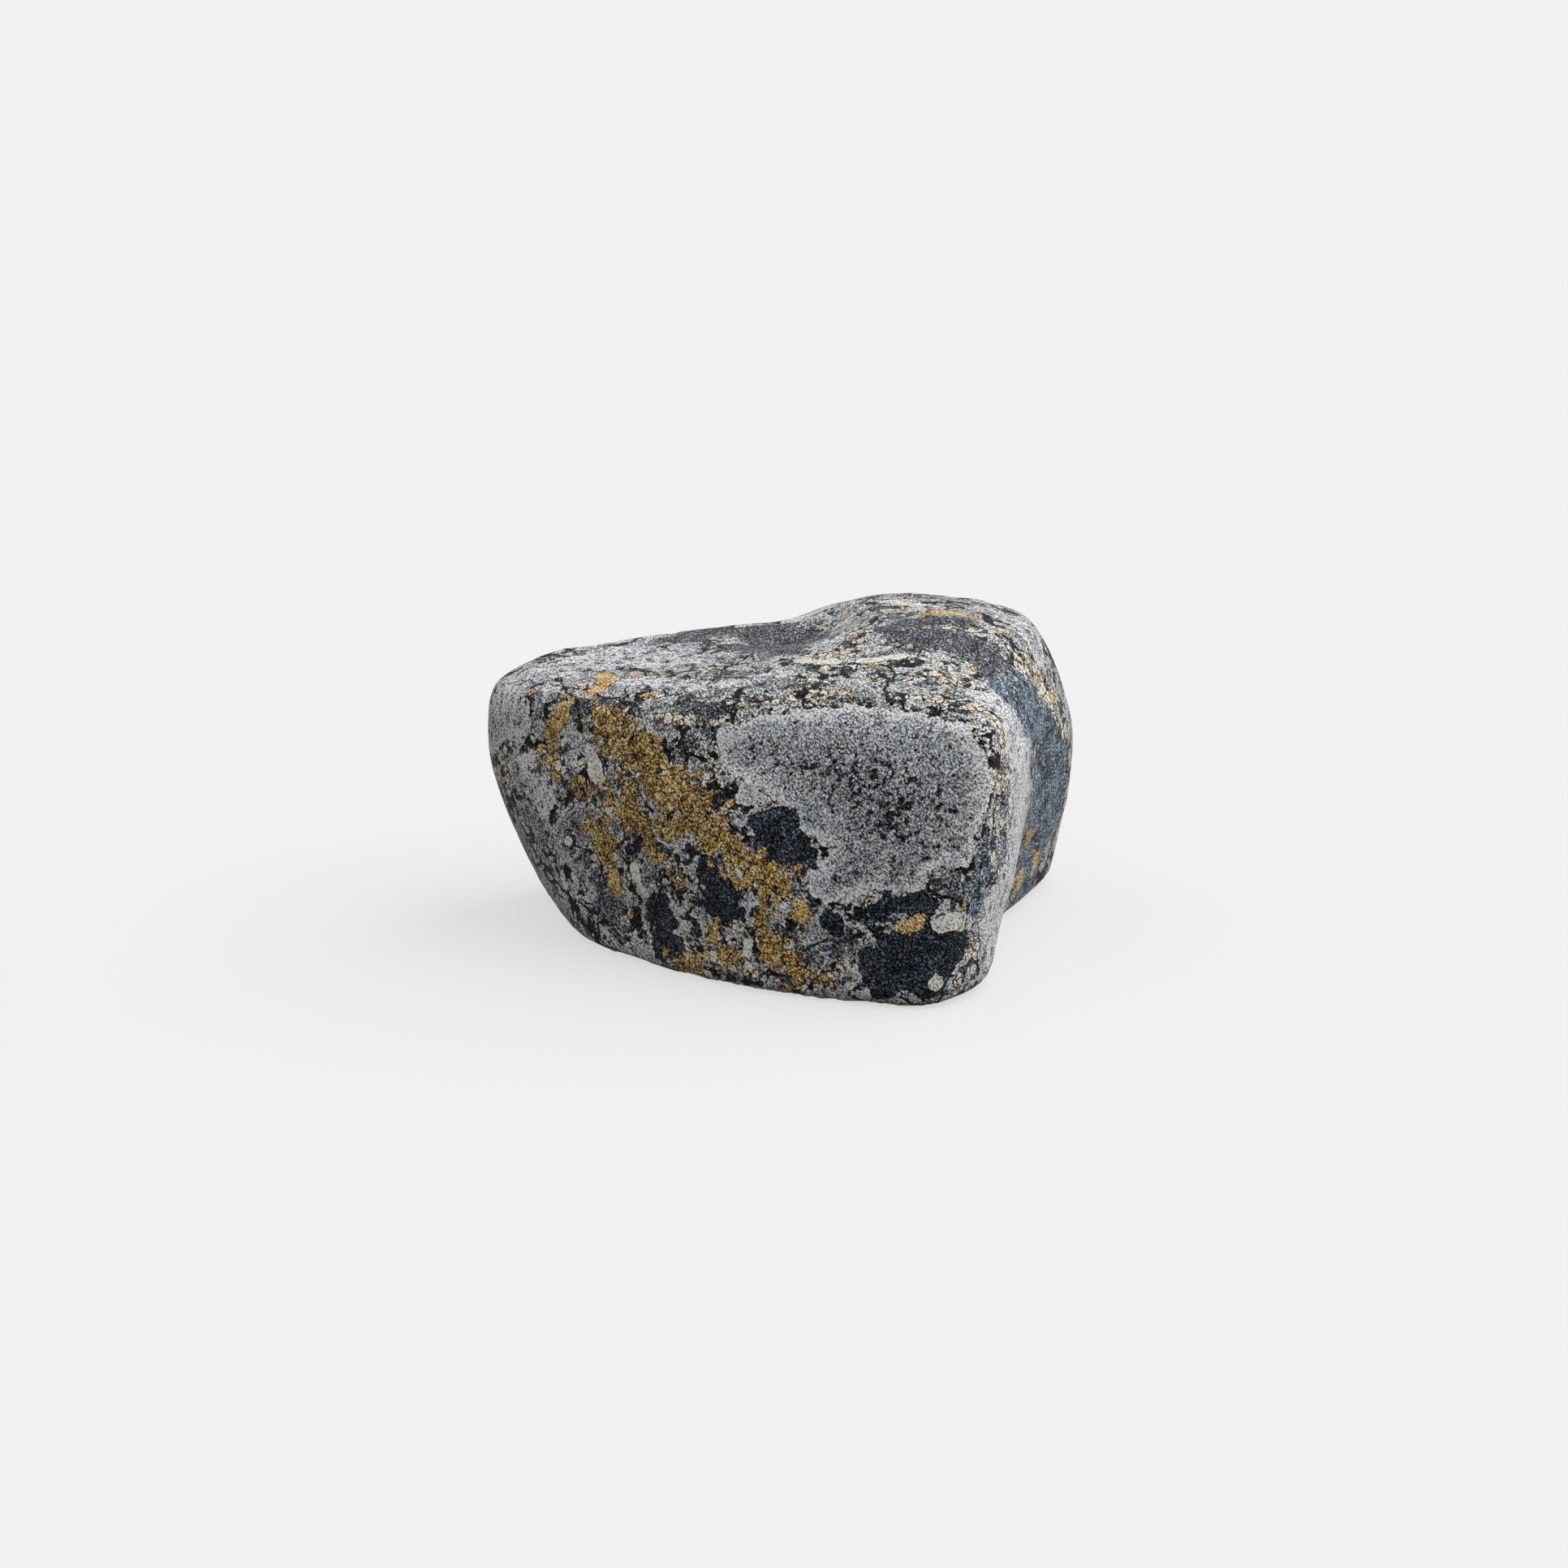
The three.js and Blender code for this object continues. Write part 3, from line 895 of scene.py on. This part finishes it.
class POUF_OT_studio(bpy.types.Operator):
    """Make the pale floor, the even background, the soft light and the camera"""

    bl_idname = "pouf.studio"
    bl_label = "Studio"

    def execute(self, context):
        look = context.scene.pouf_studio
        scene = context.scene
        scene.view_settings.view_transform = "Standard"

        bpy.ops.object.select_all(action="DESELECT")
        bpy.ops.mesh.primitive_plane_add(size=2 * STAGE_RADIUS)
        floor = context.object
        floor.name = "studio_floor"
        # A table of white acrylic lit from below as well, which keeps the shadows light.
        sheet = bpy.data.materials.new("lit white acrylic")
        sheet.use_nodes = True
        sheet.node_tree.nodes.clear()
        matt = add(sheet.node_tree, "BsdfDiffuse", {"Color": look.floor[:]})
        glow = add(
            sheet.node_tree, "Emission", {"Color": look.backdrop[:], "Strength": look.floor_glow}
        )
        both = add(sheet.node_tree, "AddShader", {0: matt, 1: glow})
        add(sheet.node_tree, "OutputMaterial", {"Surface": both})
        floor.data.materials.append(sheet)
        # What it sends back up to the pouf comes from the lower half of the surroundings instead.
        floor.visible_diffuse = False

        # A dome of even light that only the camera sees, so the background is one pale tone.
        bpy.ops.mesh.primitive_uv_sphere_add(
            segments=64, ring_count=32, radius=DOME_SHARE * STAGE_RADIUS
        )
        dome = context.object
        dome.name = "studio_backdrop"
        lit = bpy.data.materials.new("lit backdrop")
        lit.use_nodes = True
        lit.node_tree.nodes.clear()
        even = add(lit.node_tree, "Emission", {"Color": look.backdrop[:], "Strength": 1.0})
        add(lit.node_tree, "OutputMaterial", {"Surface": even})
        dome.data.materials.append(lit)
        dome.visible_diffuse = False
        dome.visible_glossy = False
        dome.visible_transmission = False
        dome.visible_shadow = False

        world = bpy.data.worlds.new("even fill")
        world.use_nodes = True
        world.node_tree.nodes.clear()
        around = add(world.node_tree, "TexCoord").outputs["Generated"]
        height = add(world.node_tree, "SeparateXYZ", {0: around}).outputs["Z"]
        share = add(
            world.node_tree, "MapRange",
            {
                "Value": height, "From Min": -HORIZON_FADE, "From Max": HORIZON_FADE,
                "To Min": look.floor_fill, "To Max": look.fill_strength,
            },
        )
        sky = add(world.node_tree, "Background", {"Color": (1.0, 1.0, 1.0, 1.0), "Strength": share})
        add(world.node_tree, "OutputWorld", {"Surface": sky})
        scene.world = world

        bpy.ops.object.light_add(type="SUN")
        key = context.object
        key.name = "overhead softbox"
        key.data.energy = look.key_strength
        key.data.angle = look.key_spread
        key.rotation_euler = Vector(KEY_FROM).to_track_quat("Z", "Y").to_euler()

        bpy.ops.object.camera_add(
            location=CAMERA_PLACE, rotation=(math.radians(90.0 - CAMERA_PITCH), 0.0, 0.0)
        )
        camera = context.object
        camera.name = "photograph camera"
        camera.data.sensor_width = SENSOR_WIDTH
        camera.data.lens = FOCAL_LENGTH
        camera.data.clip_end = 4 * STAGE_RADIUS
        scene.camera = camera
        return {"FINISHED"}


class POUF_PT_build(bpy.types.Panel):
    """Lists what the pouf is made of, with the settings of each"""

    bl_idname = "POUF_PT_build"
    bl_label = "Rock-shaped pouf"
    bl_space_type = "VIEW_3D"
    bl_region_type = "UI"
    bl_category = "Pouf"

    def draw(self, context):
        for title, group, operator in (
            ("Cover", context.scene.pouf_cover, POUF_OT_cover),
            ("Print", context.scene.pouf_print, None),
            ("Studio", context.scene.pouf_studio, POUF_OT_studio),
        ):
            box = self.layout.box()
            box.label(text=title)
            for name in group.__annotations__:
                box.prop(group, name)
            if operator:
                box.operator(operator.bl_idname)


CLASSES = (
    PoufCoverSettings,
    PoufPrintSettings,
    PoufStudioSettings,
    POUF_OT_cover,
    POUF_OT_studio,
    POUF_PT_build,
)
GROUPS = {
    "pouf_cover": PoufCoverSettings,
    "pouf_print": PoufPrintSettings,
    "pouf_studio": PoufStudioSettings,
}


def register():
    for made in CLASSES:
        bpy.utils.register_class(made)
    for name, group in GROUPS.items():
        setattr(bpy.types.Scene, name, bpy.props.PointerProperty(type=group))


def unregister():
    for name in GROUPS:
        delattr(bpy.types.Scene, name)
    for made in reversed(CLASSES):
        bpy.utils.unregister_class(made)


def main():
    register()
    bpy.ops.pouf.cover()
    bpy.ops.pouf.studio()


if __name__ == "__main__":
    main()
